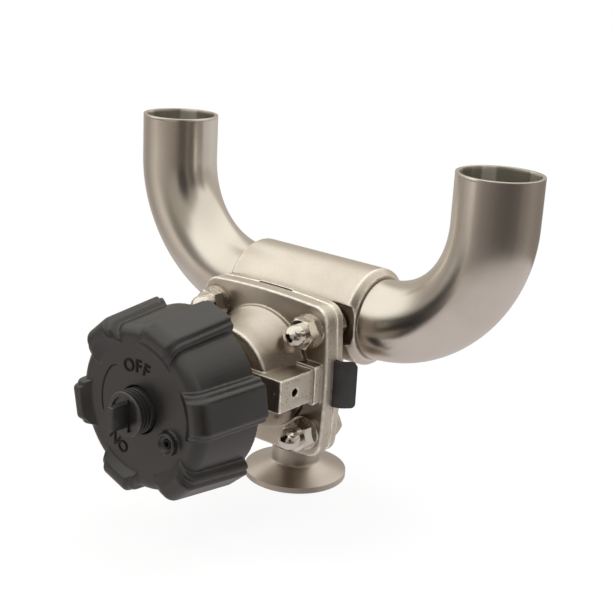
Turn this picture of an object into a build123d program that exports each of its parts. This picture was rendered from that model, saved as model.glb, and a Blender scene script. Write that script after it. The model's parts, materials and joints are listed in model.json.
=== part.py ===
from build123d import *
import math
import os

# Diaphragm valve with a U shaped header run, a weir body, a bolted bonnet and a handwheel.
# Every piece is drawn in the valve's own frame: the valve axis is the Y axis, +Y points
# back, +Z up, and y = 0 is the front face of the bonnet's flange. All sizes in millimetres.
# Pieces are moved at the end so that the origin is the middle of the outlet's lowest face.

# Line tube and its two bends
tube_od = 38.1
tube_wall = 1.65
bend_radius = 55.5
tube_rise = 22.0

# How far solids that are joined run into each other
bite = 1.0

# Header run behind the valve
header_od = 46.6
header_length = 77.4
header_chamfer = 3.0
header_back = 38.4
header_up = 24.3

# Outlet neck and clamp ferrule
outlet_back = 29.6
outlet_drop = 64.0
neck_bore = 19.0
neck_wall = 2.3
boss_wall = 5.0
boss_taper = 1.6
ferrule_od = 50.5
ferrule_rim = 2.85
ferrule_slope = 20.0
ferrule_height = 16.0
ferrule_blend = 1.2
gasket_ring = 43.5
gasket_depth = 1.4

# Square flange that the bonnet and the body share, as wide as the header run is long
flange_inset = 0.3
flange_height = 75.2
flange_bulge = 1.8
flange_corner = 8.0
bonnet_flange = 7.3
body_flange = 6.0
flange_front_round = 1.0
flange_back_round = 2.4
stud_inset_x = 9.9
stud_inset_z = 13.0

# Weir chamber
chamber_radius = 17.0
weir_depth = 5.0
weir_thickness = 5.0
pocket_reach = 17.0
chamber_wall = 5.0
chamber_top = 35.6
chamber_bottom = -25.0
chamber_corner = 12.0

# Diaphragm
sheet_thickness = 2.8
sheet_radius = 30.5
sheet_gap = 0.3
sheet_boss_radius = 5.5
sheet_boss_height = 2.9
sheet_fold = 2.0
sheet_slope_shift = 0.8
closed_gap = 0.1
tab_height = 21.6
tab_root = 4.0
tab_straight = 0.4
tab_bend = 50.0
tab_bend_radius = 5.0
tab_end = 5.0
tab_corner = 2.2
top_tab_width = 19.0
top_tab_thickness = 1.2
notch_gap = 0.15

# Bonnet
pad_radius = 29.0
pad_height = 3.0
pad_round = 1.3
bell_radius = 24.3
bell_height = 24.0
bell_flare = 3.9
bell_flare_length = 13.8
scoop_radius = 12.8
scoop_round = 5.0
rim_round = 1.4
block_reach = 34.7
block_height = 15.4
block_up = 1.0
block_front = -26.8
block_round = 0.9
block_base = 5.0
block_base_step = 1.5
block_base_round = 1.2
leak_hole = 3.8
leak_hole_front = -16.6
cavity_radius = 16.3
cavity_front = -18.6
barrel_radius = 17.5
barrel_end = -49.0
key_width = 6.0
key_reach = 18.4
key_gap = 0.3
key_front = 2.0

# Fasteners, M8
thread_m8 = 8.0
hole_m8 = 8.8
hex_m8 = 13.0
hex_chamfer = 30.0
hex_chamfer_start = 0.98
washer_od = 16.0
washer_bore = 8.4
washer_thickness = 1.6
nut_hex_height = 6.5
nut_height = 15.0
dome_radius = 5.0
nut_turns = (12.0, -9.0, -18.0, -3.0)
bolt_head = 5.3
lock_nut_height = 4.0
bolt_tip = -11.5
bolt_end_gap = 1.0
stud_end = 0.8
spot_radius = 9.2
spot_gap = 0.5
thread_gap = 0.05

# Spindle, drive nut and gland
travel = 8.0
running_gap = 0.05
spindle_radius = 6.0
spindle_foot_radius = 5.0
spindle_stem_radius = 3.5
nut_sleeve_radius = 9.0
nut_collar_radius = 12.6
nut_collar_width = 5.8
thrust_washer = 1.5
end_float = 0.1
gland_bore_radius = 13.4
gland_seat = -35.0
gland_lip_radius = 16.0
gland_lip = 2.0
spanner_hole = 1.2
partition = 5.4
partition_gap = 1.5
ring_section = 1.5
gland_seal_section = 0.7
gland_seal_inset = 1.2
gland_groove_width = 1.6
gland_groove_depth = 1.5
drive_hex = 15.0
drive_hex_length = 8.0
drive_end_radius = 7.4
drive_end_length = 5.0
wheel_nut_hex = 17.0
wheel_nut_height = 4.6

# Compressor
compressor_radius = 15.2
compressor_rim = 3.4
compressor_slope = 3.7
compressor_hub = 9.0
compressor_front = -16.0
compressor_step = 2.0
ear_inset = 0.5
boss_gap = 0.4
socket_gap = 0.2
insert_radius = 3.0
insert_head_radius = 4.2
insert_head = 1.6
insert_length = 9.0
pin_radius = 1.5
pin_front = -11.8

# Handwheel
wheel_face = -77.5
wheel_back = -45.0
wheel_valley_front = 36.0
wheel_valley_back = 39.0
wheel_shoulder = 5.5
wheel_skin = 3.2
wheel_web = 4.0
lug_count = 6
lug_first_angle = 10.5
lug_rise = 3.1
lug_front_radius = 40.0
lug_back_radius = 43.9
lug_width = 15.5
lug_foot_width = 20.0
lug_foot_step = 1.8
lug_inner_radius = 28.5
lug_inner_slope = 4.6
lug_round = 1.8
lug_nose = 6.0
lug_foot_drop = 1.1
pocket_lap = 4.0
wheel_well_radius = 10.4
wheel_hub_radius = 13.4
wheel_rib = 2.6
wheel_rib_level = 0.6
wheel_rib_inset = 2.0
wheel_hub_gap = 1.1

# Boss with the lock screw on the wheel's face
screw_x = 19.2
screw_z = -8.9
screw_boss_radius = 5.0
screw_boss_rise = 3.1
screw_boss_back = 2.0
screw_recess_radius = 3.7
screw_recess = 1.2
screw_radius = 2.0
screw_length = 7.0
screw_socket = 2.2
screw_socket_depth = 1.6

# Indicator cap
cap_radius = 9.9
cap_proud = 7.8
cap_length = 11.0
cap_edge = 0.5
cap_bore_depth = 8.0
cap_stem_gap = 0.3
cap_groove = 0.6
cap_groove_start = 1.2
cap_groove_width = 1.1
cap_groove_floor = 0.5
cap_groove_pitch = 1.9
cap_groove_count = 3
dish_margin = 2.2
dish_depth = 0.9
dish_gap = 0.6
blade_thickness = 3.0
blade_height = 10.5
blade_reach = 7.6
blade_round = 0.6

# Sizes worked out from the ones above
tube_radius = tube_od / 2
tube_bore_radius = tube_radius - tube_wall
header_radius = header_od / 2
header_half = header_length / 2
flange_width = header_length - 2 * flange_inset
stud_pitch_x = flange_width - 2 * stud_inset_x
stud_pitch_z = flange_height - 2 * stud_inset_z
neck_bore_radius = neck_bore / 2
neck_radius = neck_bore_radius + neck_wall
boss_radius = neck_bore_radius + boss_wall
ferrule_radius = ferrule_od / 2
parting = bonnet_flange
flange_back = bonnet_flange + body_flange
sheet_front = parting - sheet_thickness / 2
sheet_back = parting + sheet_thickness / 2
weir_crown = parting + weir_depth
sheet_lift = travel + closed_gap - (weir_crown - sheet_back)
sheet_crown = sheet_front - sheet_lift
boss_front = sheet_crown - sheet_boss_height
bolt_radius = thread_m8 / 2 - thread_gap
tapped_radius = thread_m8 / 2
stud_places = [(x * stud_pitch_x / 2, z * stud_pitch_z / 2) for x in (-1, 1) for z in (-1, 1)]
lower_places = [place for place in stud_places if place[1] < 0]
upper_places = [place for place in stud_places if place[1] > 0]
collar_back = gland_seat - thrust_washer - end_float
collar_front = collar_back - nut_collar_width
gland_back = collar_front - end_float - thrust_washer
gland_front = barrel_end
hub_back = gland_front - gland_lip - wheel_hub_gap
hub_front = hub_back - drive_hex_length
drive_end = hub_front - drive_end_length
cap_front = wheel_face - cap_proud
cap_back = cap_front + cap_length
partition_front = cavity_front - partition
sleeve_back = partition_front - partition_gap
socket_floor = sheet_crown - insert_length - socket_gap
gland_seal_radius = (barrel_radius + gland_lip_radius) / 2 - gland_seal_inset
stem_front = cap_back - cap_bore_depth + cap_stem_gap


def turned(points):
    """A solid turned about the valve axis from its (radius, y) outline."""
    return revolve(make_face(Polyline(*points, close=True)), Axis.Y, 360)


def turned_up(points):
    """A solid turned about the outlet's axis from its (radius, z) outline."""
    face = Plane.XZ * make_face(Polyline(*points, close=True))
    return Pos(0, outlet_back, 0) * revolve(face, Axis.Z, 360)


def rod(radius, front, back, place=(0, 0)):
    """A round bar along the valve's direction from y = front to y = back."""
    middle = Pos(place[0], (front + back) / 2, place[1])
    return middle * Rot(90, 0, 0) * Cylinder(radius, back - front)


def cross_bar(radius, left, right, y, z):
    """A round bar along X."""
    return Pos((left + right) / 2, y, z) * Rot(0, 90, 0) * Cylinder(radius, right - left)


def facing(y):
    """A drawing plane that looks at the valve from the front, at depth y."""
    return Plane(origin=(0, y, 0), x_dir=(1, 0, 0), z_dir=(0, -1, 0))


def slab(sketch, front, back):
    """A sketch seen from the front, made solid from y = front to y = back."""
    return extrude(facing(front) * sketch, amount=back - front, dir=(0, 1, 0))


def hexagon_bar(flats, front, back, place=(0, 0)):
    """A hexagonal bar, flats apart across, with a corner on each side."""
    sketch = RegularPolygon(flats / 2, 6, major_radius=False)
    return Pos(place[0], 0, place[1]) * slab(sketch, front, back)


def ring(section, radius, y):
    """An O ring with the valve axis through it."""
    return Pos(0, y, 0) * Rot(90, 0, 0) * Torus(radius, section)


def chamfered_hexagon(flats, front, back, at_front, at_back):
    """A hexagonal bar along the valve axis whose corners are turned down at one or both ends."""
    corner = flats / math.sqrt(3)
    cut = corner - flats / 2 * hex_chamfer_start
    rise = cut * math.tan(math.radians(hex_chamfer))
    outline = [(0, front)]
    if at_front:
        outline += [(corner - cut, front), (corner, front + rise)]
    else:
        outline += [(corner, front)]
    if at_back:
        outline += [(corner, back - rise), (corner - cut, back)]
    else:
        outline += [(corner, back)]
    outline += [(0, back)]
    return hexagon_bar(flats, front, back) & turned(outline)


def flange_outline():
    """Square flange with slightly bowed sides and rounded corners."""
    half_width = flange_width / 2
    half_height = flange_height / 2
    corner_x = half_width - flange_bulge
    corner_z = half_height - flange_bulge
    corners = [(corner_x, corner_z), (-corner_x, corner_z), (-corner_x, -corner_z), (corner_x, -corner_z)]
    middles = [(0, half_height), (-half_width, 0), (0, -half_height), (half_width, 0)]
    sides = [ThreePointArc(corners[i], middles[i], corners[(i + 1) % 4]) for i in range(4)]
    face = make_face(Curve() + sides)
    return fillet(face.vertices(), flange_corner)


def sheet_seat(front, back):
    """Recess for the diaphragm's edge and its tabs, from y = front to y = back."""
    seat = rod(sheet_radius + sheet_gap, front, back)
    side_sketch = Pos(flange_width / 2, 0) * Rectangle(flange_width, tab_height + 2 * notch_gap)
    return seat + slab(side_sketch, front, back)


def top_notch():
    """Slot in the body flange for the small locating tab on the diaphragm's top."""
    sketch = Pos(0, flange_height / 2) * Rectangle(top_tab_width + 2 * notch_gap, flange_height)
    return slab(sketch, parting, parting + top_tab_thickness + notch_gap)


# Body

def chamber_block():
    """The housing between the flange and the header that holds the two flow pockets."""
    width = 2 * (chamber_radius + chamber_wall)
    front = facing(flange_back - bite) * Pos(0, (chamber_top + chamber_bottom) / 2) * RectangleRounded(
        width, chamber_top - chamber_bottom, chamber_corner
    )
    low = chamber_bottom + chamber_wall
    back = facing(header_back) * Pos(0, (header_up + low) / 2) * RectangleRounded(
        width - chamber_wall, header_up - low, chamber_corner
    )
    return loft(Sketch() + [front, back])


def header_run():
    """Thick header tube with turned down ends."""
    run = cross_bar(header_radius, -header_half, header_half, header_back, header_up)
    ends = run.edges().filter_by(GeomType.CIRCLE)
    return chamfer(ends, header_chamfer)


def outlet_neck():
    """Boss round the drain passage, drawn in to the neck that the ferrule is welded to."""
    top = header_up - header_radius
    shoulder = chamber_bottom + chamber_wall
    taper = boss_radius - neck_radius
    weld = ferrule_height - outlet_drop
    return turned_up([
        (0, top),
        (boss_radius, top),
        (boss_radius, shoulder),
        (neck_radius, shoulder - boss_taper * taper),
        (neck_radius, weld),
        (0, weld),
    ])


def half_pocket(side, depth):
    """Half of the round chamber, above (side = 1) or below (side = -1) the weir."""
    circle = Circle(chamber_radius)
    half = Pos(0, side * (chamber_radius + weir_thickness / 2)) * Rectangle(
        2 * chamber_radius, 2 * chamber_radius
    )
    return slab(circle & half, parting, depth)


def weir_saddle():
    """Shallow arc over the weir that the diaphragm is pressed on."""
    lip = (chamber_radius, sheet_back)
    crown = (0, weir_crown)
    arc = ThreePointArc((-lip[0], lip[1]), crown, lip)
    close = Line(lip, (-lip[0], lip[1]))
    face = make_face(arc + close)
    saddle = extrude(face, amount=weir_thickness / 2 + bite, both=True)
    return saddle & rod(chamber_radius, parting, header_back)


def spot_face(place, depth):
    """Flat seat for a bolt head or nut behind the flange, open to the side."""
    x, z = place
    side = math.copysign(1, x)
    open_way = Pos(x + side * spot_radius, z) * Rectangle(2 * spot_radius, 2 * spot_radius)
    return rod(spot_radius, flange_back, depth, place) + slab(open_way, flange_back, depth)


def valve_body():
    """Cast body: flange, weir chamber, header run and outlet neck in one piece."""
    plate = slab(flange_outline(), parting, flange_back)
    back_rim = plate.edges().group_by(Axis.Y)[-1]
    plate = fillet(back_rim, flange_back_round)
    body = plate + chamber_block() + header_run() + outlet_neck()
    for place in lower_places:
        body -= spot_face(place, flange_back + bolt_head + spot_gap)
        body -= rod(hole_m8 / 2, parting, flange_back, place)
    for place in upper_places:
        body -= spot_face(place, flange_back + lock_nut_height + stud_end + spot_gap)
        body -= rod(tapped_radius, parting, flange_back, place)
    body -= cross_bar(tube_bore_radius, -header_half, header_half, header_back, header_up)
    body -= sheet_seat(parting, sheet_back)
    body -= top_notch()
    body -= weir_saddle()
    body -= half_pocket(1, header_back - header_radius + pocket_reach)
    body -= half_pocket(-1, outlet_back)
    drain_top = -weir_thickness / 2 - bite
    drain_low = ferrule_height - outlet_drop
    drain = Cylinder(neck_bore_radius, drain_top - drain_low)
    body -= Pos(0, outlet_back, (drain_top + drain_low) / 2) * drain
    return body


def elbow(side):
    """Tube bend from the header's end up to a straight end, on the left (-1) or right (1)."""
    wall = Circle(tube_radius) - Circle(tube_bore_radius)
    start = Plane(origin=(header_half, header_back, header_up), x_dir=(0, 1, 0), z_dir=(1, 0, 0))
    centre = (header_half, header_back, header_up + bend_radius)
    bend = revolve(start * wall, Axis(centre, (0, -1, 0)), 90)
    top = Plane(
        origin=(header_half + bend_radius, header_back, header_up + bend_radius),
        x_dir=(1, 0, 0),
        z_dir=(0, 0, 1),
    )
    tube = bend + extrude(top * wall, amount=tube_rise)
    if side < 0:
        tube = mirror(tube, about=Plane.YZ)
    return tube


def outlet_ferrule():
    """Clamp ferrule with its sloped back and gasket groove."""
    low = -outlet_drop
    slope = math.tan(math.radians(ferrule_slope))
    cone_top = low + ferrule_rim + (ferrule_radius - neck_radius) * slope
    body = turned_up([
        (neck_bore_radius, low),
        (ferrule_radius, low),
        (ferrule_radius, low + ferrule_rim),
        (neck_radius, cone_top),
        (neck_radius, low + ferrule_height),
        (neck_bore_radius, low + ferrule_height),
    ])
    corner = body.edges().filter_by_position(Axis.Z, cone_top - thread_gap, cone_top + thread_gap)
    body = fillet(corner, ferrule_blend)
    return body - Pos(0, outlet_back, low) * Torus(gasket_ring / 2, gasket_depth)


# Diaphragm and what moves it

def diaphragm_tab():
    """Side tab that leaves the flange and bends back."""
    start = (sheet_radius - tab_root, parting)
    edge = (flange_width / 2 + tab_straight, parting)
    straight = Line(start, edge)
    bend = JernArc(start=edge, tangent=(1, 0), radius=tab_bend_radius, arc_size=tab_bend)
    section = Plane(origin=(start[0], start[1], 0), x_dir=(0, 1, 0), z_dir=(1, 0, 0))
    strip = sweep(section * Rectangle(sheet_thickness, tab_height), path=straight + bend)
    tip = Rectangle(tab_end, tab_height)
    outer = tip.vertices().group_by(Axis.X)[-1]
    tip = Pos(tab_end / 2, 0) * fillet(outer, tab_corner)
    angle = math.radians(tab_bend)
    plane = Plane(
        origin=((bend @ 1).X, (bend @ 1).Y, 0),
        x_dir=(math.cos(angle), math.sin(angle), 0),
        z_dir=(math.sin(angle), -math.cos(angle), 0),
    )
    return strip + extrude(plane * tip, amount=sheet_thickness / 2, both=True)


def diaphragm_stud():
    """Threaded insert whose head sits in the rubber."""
    head_back = sheet_crown + insert_head
    return turned([
        (0, head_back),
        (insert_head_radius, head_back),
        (insert_head_radius, sheet_crown),
        (insert_radius, sheet_crown),
        (insert_radius, sheet_crown - insert_length),
        (0, sheet_crown - insert_length),
    ])


def insert_socket():
    """Space in the rubber for the insert, a hair larger all round."""
    gap = thread_gap
    head_back = sheet_crown + insert_head + gap
    front = sheet_crown - insert_length
    return turned([
        (0, head_back),
        (insert_head_radius + gap, head_back),
        (insert_head_radius + gap, sheet_crown - gap),
        (insert_radius + gap, sheet_crown - gap),
        (insert_radius + gap, front),
        (0, front),
    ])


def diaphragm():
    """Rubber diaphragm, arched forward as it stands when the valve is open."""
    flat = cavity_radius - sheet_gap
    crown = sheet_boss_radius + sheet_fold
    middle = (flat + crown) / 2
    half_lift = sheet_lift / 2
    sheet = turned([
        (0, boss_front),
        (sheet_boss_radius, boss_front),
        (sheet_boss_radius, sheet_crown),
        (crown, sheet_crown),
        (middle, sheet_front - half_lift),
        (flat, sheet_front),
        (sheet_radius, sheet_front),
        (sheet_radius, sheet_back),
        (flat - sheet_slope_shift, sheet_back),
        (middle - sheet_slope_shift, sheet_back - half_lift),
        (crown - sheet_slope_shift, sheet_back - sheet_lift),
        (0, sheet_back - sheet_lift),
    ])
    sheet += diaphragm_tab()
    top_low = sheet_radius - tab_root
    top_tab = Pos(0, (flange_height + top_low) / 2) * Rectangle(top_tab_width, flange_height - top_low)
    sheet += slab(top_tab & flange_outline(), parting, parting + top_tab_thickness)
    for place in stud_places:
        sheet -= rod(hole_m8 / 2, sheet_front, sheet_back, place)
    return sheet - insert_socket()


def compressor():
    """Pressure piece with a curved foot, two guide ears and a socket for the spindle."""
    recess = sheet_boss_radius + boss_gap
    foot = sheet_crown - sheet_gap
    rim_back = foot - compressor_slope
    rim_front = rim_back - compressor_rim
    floor = boss_front - boss_gap
    body = turned([
        (0, foot),
        (recess + compressor_step, foot),
        (compressor_radius, rim_back),
        (compressor_radius, rim_front),
        (compressor_hub, rim_front - compressor_step),
        (compressor_hub, compressor_front),
        (0, compressor_front),
    ])
    ear = Rectangle(key_width, 2 * key_reach)
    body += slab(ear, rim_front, rim_back - ear_inset)
    body -= rod(recess, floor, foot)
    body -= rod(insert_radius + thread_gap, socket_floor, floor)
    body -= rod(spindle_foot_radius + thread_gap, compressor_front, socket_floor)
    return body - cross_bar(pin_radius + thread_gap, -compressor_radius, compressor_radius, pin_front, 0)


def compressor_pin():
    """Cross pin through compressor and spindle."""
    return cross_bar(pin_radius, -compressor_hub, compressor_hub, pin_front, 0)


def spindle():
    """Rising stem: foot in the compressor, left hand thread in the drive nut, stem for the cap."""
    foot_back = socket_floor - socket_gap
    foot_front = compressor_front - socket_gap
    body = turned([
        (0, foot_back),
        (spindle_foot_radius, foot_back),
        (spindle_foot_radius, foot_front),
        (spindle_radius, foot_front),
        (spindle_radius, cap_back),
        (spindle_stem_radius, cap_back),
        (spindle_stem_radius, stem_front),
        (0, stem_front),
    ])
    return body - cross_bar(pin_radius + thread_gap, -spindle_radius, spindle_radius, pin_front, 0)


def drive_nut():
    """Bronze bush that turns with the wheel and drives the spindle."""
    bore = spindle_radius + running_gap
    sleeve = turned([
        (bore, sleeve_back),
        (nut_sleeve_radius, sleeve_back),
        (nut_sleeve_radius, collar_back),
        (nut_collar_radius, collar_back),
        (nut_collar_radius, collar_front),
        (nut_sleeve_radius, collar_front),
        (nut_sleeve_radius, hub_back),
        (bore, hub_back),
    ])
    driver = hexagon_bar(drive_hex, hub_front, hub_back) - rod(bore, hub_front, hub_back)
    end = rod(drive_end_radius, drive_end, hub_front) - rod(bore, drive_end, hub_front)
    return sleeve + driver + end


def thrust_ring(front):
    """Flat bearing washer beside the drive nut's collar."""
    outer = gland_bore_radius - thread_gap
    inner = nut_sleeve_radius + sheet_gap
    return rod(outer, front, front + thrust_washer) - rod(inner, front, front + thrust_washer)


def lower_thrust_washer():
    return thrust_ring(gland_seat - thrust_washer)


def upper_thrust_washer():
    return thrust_ring(gland_back)


def gland_ring():
    """Screwed ring that holds the drive nut in the bonnet's barrel."""
    bore = nut_sleeve_radius + running_gap
    lip_front = gland_front - gland_lip
    body = turned([
        (bore, gland_back),
        (gland_bore_radius - thread_gap, gland_back),
        (gland_bore_radius - thread_gap, gland_front),
        (gland_lip_radius, gland_front),
        (gland_lip_radius, lip_front),
        (bore, lip_front),
    ])
    middle = (gland_back + lip_front) / 2
    groove = rod(bore + 2 * ring_section, middle - ring_section, middle + ring_section)
    body -= groove
    for side in (-1, 1):
        place = (side * (gland_lip_radius + bore) / 2, 0)
        body -= rod(spanner_hole, lip_front, gland_front, place)
    return body


def bush_o_ring():
    """Seal on the drive nut, in the gland ring's groove."""
    middle = (gland_back + gland_front - gland_lip) / 2
    bore = nut_sleeve_radius + running_gap
    return ring(ring_section - running_gap, bore + ring_section, middle)


def gland_o_ring():
    """Seal under the gland ring's lip, in a groove of the barrel's end."""
    return ring(gland_seal_section, gland_seal_radius, gland_front + gland_groove_depth / 2)


def spindle_o_ring():
    """Seal on the spindle, in the partition's groove."""
    middle = (cavity_front + partition_front) / 2
    return ring(ring_section - running_gap, spindle_radius + running_gap + ring_section, middle)


# Bonnet

def bell():
    """Bonnet housing that flares out to its round pad, before the nut clearances are cut."""
    base = (bell_radius + bell_flare, -pad_height)
    waist = (bell_radius, -pad_height - bell_flare_length)
    side = TangentArc(waist, base, tangent=(0, 1))
    rest = Polyline(base, (0, -pad_height), (0, -bell_height), (bell_radius, -bell_height), waist)
    return revolve(make_face(side + rest), Axis.Y, 360)


def nut_scoop(place):
    """Round clearance for a socket on the nut, with a rounded floor."""
    scoop = rod(scoop_radius, -bell_height - bite, -pad_height, place)
    floor = scoop.edges().filter_by(GeomType.CIRCLE).sort_by(Axis.Y)[-1]
    return fillet(floor, scoop_round)


def side_block():
    """Block on the right for the leak hole, with its low base."""
    block = Pos(block_reach / 2, (block_front - block_base) / 2, block_up) * Box(
        block_reach, -block_base - block_front, block_height
    )
    corners = block.edges().filter_by(Axis.Y).group_by(Axis.X)[-1]
    block = fillet(corners, block_round)
    reach = block_reach + block_base_step
    base = Pos(reach / 2, -block_base / 2, block_up) * Box(
        reach, block_base, block_height + 2 * block_base_step
    )
    base_corners = base.edges().filter_by(Axis.Y).group_by(Axis.X)[-1]
    return block + fillet(base_corners, block_base_round)


def bonnet():
    """Cast bonnet: flange, round pad, scooped bell, side block and the barrel for the drive nut."""
    plate = slab(flange_outline(), 0, bonnet_flange)
    front_rim = plate.edges().group_by(Axis.Y)[0]
    plate = fillet(front_rim, flange_front_round)
    housing = bell()
    for place in stud_places:
        housing -= nut_scoop(place)
    rim = housing.edges().group_by(Axis.Y)[0]
    housing = fillet(rim, rim_round)
    pad = rod(pad_radius, -pad_height, bite)
    pad_rim = pad.edges().filter_by(GeomType.CIRCLE).sort_by(Axis.Y)[0]
    pad = fillet(pad_rim, pad_round)
    for place in stud_places:
        pad -= rod(washer_od / 2 + spot_gap, -pad_height, 0, place)
    body = side_block() + housing + pad + plate + rod(barrel_radius, barrel_end, -bell_height + bite)
    body -= rod(cavity_radius, cavity_front, parting)
    keyway = Rectangle(key_width + 2 * key_gap, 2 * (key_reach + key_gap))
    body -= slab(keyway, cavity_front + key_front, parting)
    body -= rod(spindle_radius + running_gap, partition_front, cavity_front)
    ring_middle = (cavity_front + partition_front) / 2
    groove = spindle_radius + running_gap + 2 * ring_section
    body -= rod(groove, ring_middle - ring_section, ring_middle + ring_section)
    body -= rod(nut_sleeve_radius + running_gap, gland_seat, partition_front)
    body -= rod(gland_bore_radius, barrel_end, gland_seat)
    groove_back = barrel_end + gland_groove_depth
    groove_outer = rod(gland_seal_radius + gland_groove_width / 2, barrel_end, groove_back)
    body -= groove_outer - rod(gland_seal_radius - gland_groove_width / 2, barrel_end, groove_back)
    body -= sheet_seat(sheet_front, parting)
    body -= cross_bar(leak_hole / 2, cavity_radius - bite, block_reach + bite, leak_hole_front, block_up)
    for place in stud_places:
        body -= rod(hole_m8 / 2, 0, bonnet_flange, place)
    return body


# Fasteners

def domed_nut():
    """Acorn nut with its foot at y = 0."""
    hexagon = chamfered_hexagon(hex_m8, -nut_hex_height, 0, True, True)
    dome_middle = dome_radius - nut_height
    dome = Pos(0, dome_middle, 0) * Sphere(dome_radius)
    neck = rod(dome_radius, dome_middle, -nut_hex_height + bite)
    hole = rod(tapped_radius, bolt_tip + washer_thickness - bolt_end_gap, 0)
    return hexagon + dome + neck - hole


def acorn_nuts():
    nut = domed_nut()
    seats = [Pos(x, -washer_thickness, z) for x, z in stud_places]
    return Compound(children=[seat * Rot(0, -turn, 0) * nut for seat, turn in zip(seats, nut_turns)])


def flange_washers():
    washer = rod(washer_od / 2, -washer_thickness, 0) - rod(washer_bore / 2, -washer_thickness, 0)
    return Compound(children=[Pos(x, 0, z) * washer for x, z in stud_places])


def flange_bolts():
    """The two lower hex bolts, put in from behind."""
    head = chamfered_hexagon(hex_m8, flange_back, flange_back + bolt_head, False, True)
    bolt = head + rod(bolt_radius, bolt_tip, flange_back)
    return Compound(children=[Pos(x, 0, z) * bolt for x, z in lower_places])


def flange_studs():
    """The two upper studs, screwed into the body's flange."""
    stud = rod(bolt_radius, bolt_tip, flange_back + lock_nut_height + stud_end)
    return Compound(children=[Pos(x, 0, z) * stud for x, z in upper_places])


def stud_lock_nuts():
    """Thin nuts behind the flange on the studs."""
    back = flange_back + lock_nut_height
    nut = chamfered_hexagon(hex_m8, flange_back, back, True, True) - rod(tapped_radius, flange_back, back)
    return Compound(children=[Pos(x, 0, z) * nut for x, z in upper_places])


# Handwheel

def lug_blank(width, step, drop):
    """One lug as a bar that leans out to the back, with a round nose and rounded edges."""
    front_radius = lug_front_radius - step
    back_radius = lug_back_radius - step
    front = wheel_face - lug_rise + drop
    root = lug_inner_radius - bite
    outline = Polyline(
        (root, wheel_face + wheel_web),
        (root, front),
        (front_radius, front),
        (back_radius, wheel_back),
        (wheel_valley_front - wheel_skin, wheel_back),
        close=True,
    )
    side = make_face(outline)
    nose = side.vertices().sort_by(lambda corner: corner.X - corner.Y)[-1]
    bar = extrude(fillet(nose, lug_nose), amount=width / 2, both=True)
    flanks = bar.faces().sort_by(Axis.Z)
    outer = [
        edge
        for flank in (flanks[0], flanks[-1])
        for edge in flank.edges()
        if edge.center().X > front_radius - lug_nose and edge.center().Y < wheel_back - bite
    ]
    return fillet(outer, lug_round)


def lug_inner_cut():
    """Dished cut that gives every lug its sloping inner wall."""
    top = wheel_face - 2 * lug_rise
    reach = lug_inner_radius + lug_inner_slope * 2
    return turned([
        (0, wheel_face),
        (lug_inner_radius, wheel_face),
        (reach, top),
        (0, top),
    ])


def wheel_shell():
    """Closed form of the wheel between the lugs, with its rounded shoulder."""
    shell = turned([
        (0, wheel_face),
        (wheel_valley_front, wheel_face),
        (wheel_valley_back, wheel_back),
        (0, wheel_back),
    ])
    front_rim = shell.edges().filter_by(GeomType.CIRCLE).sort_by(Axis.Y)[0]
    return fillet(front_rim, wheel_shoulder)


def wheel_inside():
    """Hollow of the wheel, open to the back, that leaves the hub, the web and the skin."""
    web_back = wheel_face + wheel_web
    skin_front = wheel_valley_front - wheel_skin
    skin_back = wheel_valley_back - wheel_skin
    hollow = turned([
        (0, wheel_back),
        (skin_back, wheel_back),
        (skin_front, web_back),
        (wheel_hub_radius, web_back),
        (wheel_hub_radius, hub_back),
        (0, hub_back),
    ])
    pocket_outline = Polyline(
        (skin_front - pocket_lap, web_back),
        (lug_front_radius - wheel_skin, web_back),
        (lug_back_radius - wheel_skin, wheel_back),
        (skin_front - pocket_lap, wheel_back),
        close=True,
    )
    pocket = extrude(make_face(pocket_outline), amount=(lug_width - 2 * wheel_skin) / 2, both=True)
    pockets = [Rot(0, -lug_angle(i), 0) * pocket for i in range(lug_count)]
    return hollow + pockets


def lug_angle(index):
    """Angle of a lug seen from the front, counted up from the right."""
    return lug_first_angle + index * 360 / lug_count


def wheel_ribs():
    """Thin ribs inside, from the hub to the skin, between the lugs."""
    reach = wheel_valley_front - wheel_skin / 2
    inner = wheel_hub_radius - bite
    front = wheel_face + wheel_web / 2
    back = hub_back - wheel_rib_inset
    outline = Polyline(
        (inner, front),
        (reach, front),
        (reach, front + (back - front) * wheel_rib_level),
        (inner, back),
        close=True,
    )
    rib = extrude(make_face(outline), amount=wheel_rib / 2, both=True)
    half_step = 180 / lug_count
    return [Rot(0, -lug_angle(i) - half_step, 0) * rib for i in range(lug_count)]


def handwheel():
    """Moulded wheel: skin, web, hub with the drive hexagon, six hollow lugs and the screw boss."""
    lugs = []
    for i in range(lug_count):
        turn = Rot(0, -lug_angle(i), 0)
        lugs.append(turn * lug_blank(lug_width, 0, 0))
        lugs.append(turn * lug_blank(lug_foot_width, lug_foot_step, lug_foot_drop))
    wheel = wheel_shell() + lugs - lug_inner_cut()
    wheel -= wheel_inside()
    wheel += wheel_ribs()
    screw_place = (screw_x, screw_z)
    boss_front = wheel_face - screw_boss_rise
    boss_back = wheel_face + wheel_web + screw_boss_back
    wheel += rod(screw_boss_radius, boss_front, wheel_face + bite, screw_place)
    wheel += rod(screw_recess_radius, wheel_face, boss_back, screw_place)
    wheel -= rod(screw_recess_radius, boss_front, boss_front + screw_recess, screw_place)
    wheel -= rod(screw_radius + thread_gap, boss_front, boss_back, screw_place)
    wheel -= rod(wheel_well_radius, wheel_face, hub_front)
    wheel -= hexagon_bar(drive_hex + 2 * thread_gap, hub_front - bite, hub_back)
    return wheel


def handwheel_nut():
    """Nut on the drive nut's end that holds the wheel."""
    front = hub_front - wheel_nut_height
    body = chamfered_hexagon(wheel_nut_hex, front, hub_front, True, True)
    return body - rod(drive_end_radius + thread_gap, front, hub_front)


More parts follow.
